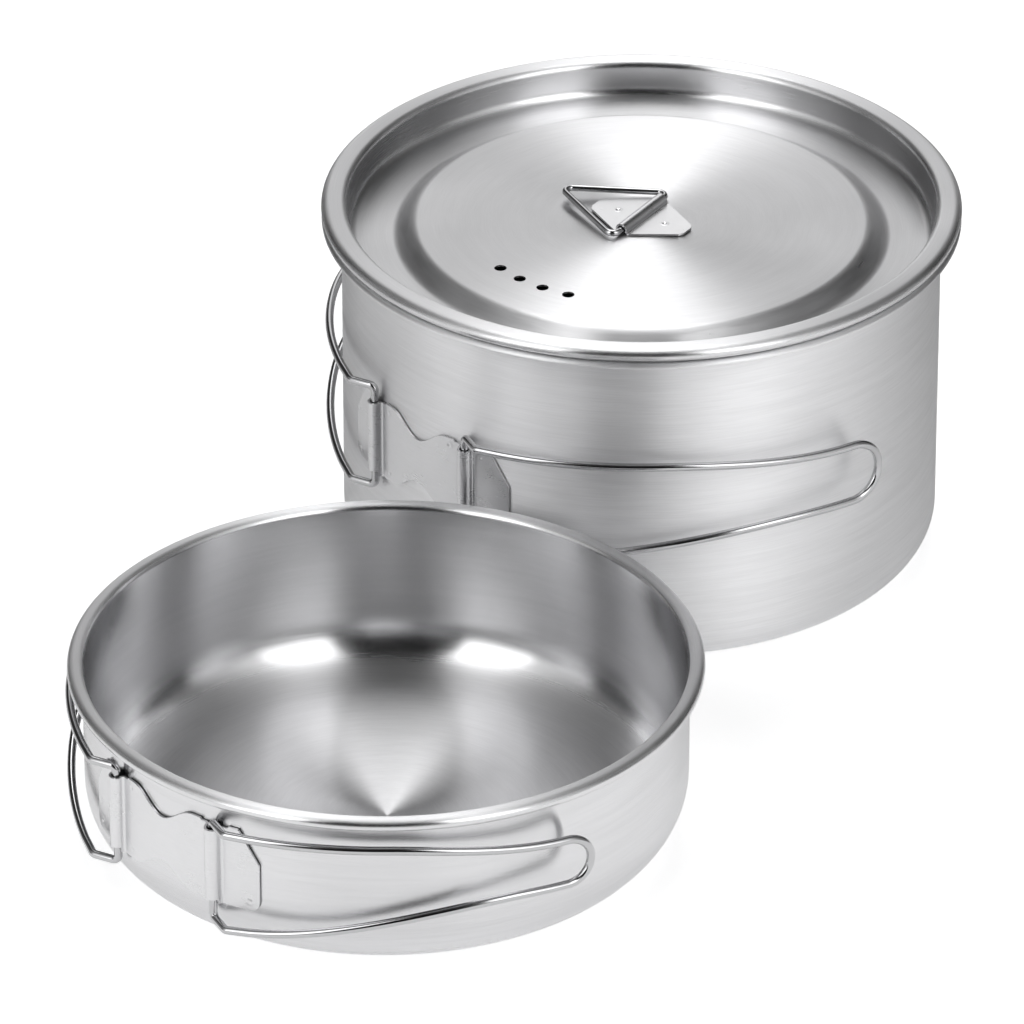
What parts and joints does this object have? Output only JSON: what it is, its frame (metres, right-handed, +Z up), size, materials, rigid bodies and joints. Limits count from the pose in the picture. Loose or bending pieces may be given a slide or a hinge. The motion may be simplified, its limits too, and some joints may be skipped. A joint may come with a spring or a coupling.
{
  "type": "camping cook pot set",
  "caption": "Stainless steel camping cook set: deep pot with a recessed vented lid and ring, a shallow pan beside it, and folding wire handles on both.",
  "frame": {"origin": "centre of the pot's flat base, on the surface that the set stands on", "axes": "+Z up; -Y is the front, towards the middle of the pot's handle bracket; the pan stands in front and to the right (+X, -Y)"},
  "size_m": [0.2747, 0.3626, 0.1111],
  "materials": {
    "brushed_steel": "fine brushed, circular on the lid and on the pan's floor, satin",
    "steel_wire": "drawn and polished bright"
  },
  "bodies": {
    "pot": {"pot_body": "brushed_steel", "pot_bracket": "brushed_steel"},
    "lid": {"lid_dish": "brushed_steel", "lid_ring_bracket": "brushed_steel"},
    "lid_ring": {"lid_ring": "steel_wire"},
    "pan": {"pan_body": "brushed_steel", "pan_bracket": "brushed_steel"},
    "pot_handle_left": {"pot_handle_left": "steel_wire"},
    "pot_handle_right": {"pot_handle_right": "steel_wire"},
    "pan_handle_left": {"pan_handle_left": "steel_wire"},
    "pan_handle_right": {"pan_handle_right": "steel_wire"}
  },
  "joints": [
    {"name": "lid_lift", "type": "slide", "parent": "pot", "child": "lid", "axis": [0, 0, 1], "range_m": [0, 0.15]},
    {"name": "lid_ring_fold", "type": "hinge", "parent": "lid", "child": "lid_ring", "pos_m": [0, 0, 0.1054], "axis": [-0.2639, 0.9646, 0], "range_deg": [0, 175]},
    {"name": "pan_slide", "type": "slide", "parent": "pot", "child": "pan", "axis": [0.4112, -0.9115, 0], "range_m": [0, 0.2]},
    {"name": "pot_handle_left_swing", "type": "hinge", "parent": "pot", "child": "pot_handle_left", "pos_m": [-0.01992, -0.09018, 0.055], "axis": [0, 0, 1], "range_deg": [0, 120]},
    {"name": "pot_handle_right_swing", "type": "hinge", "parent": "pot", "child": "pot_handle_right", "pos_m": [0.01992, -0.09018, 0.055], "axis": [0, 0, -1], "range_deg": [0, 120]},
    {"name": "pan_handle_left_swing", "type": "hinge", "parent": "pan", "child": "pan_handle_left", "pos_m": [0.06164, -0.26215, 0.0312], "axis": [0, 0, 1], "range_deg": [0, 120]},
    {"name": "pan_handle_right_swing", "type": "hinge", "parent": "pan", "child": "pan_handle_right", "pos_m": [0.10147, -0.26076, 0.0312], "axis": [0, 0, -1], "range_deg": [0, 120]}
  ],
  "couplings": [
    {"joint": "pot_handle_right_swing", "follows": "pan_slide", "rad_per_m": 10.47}
  ]
}
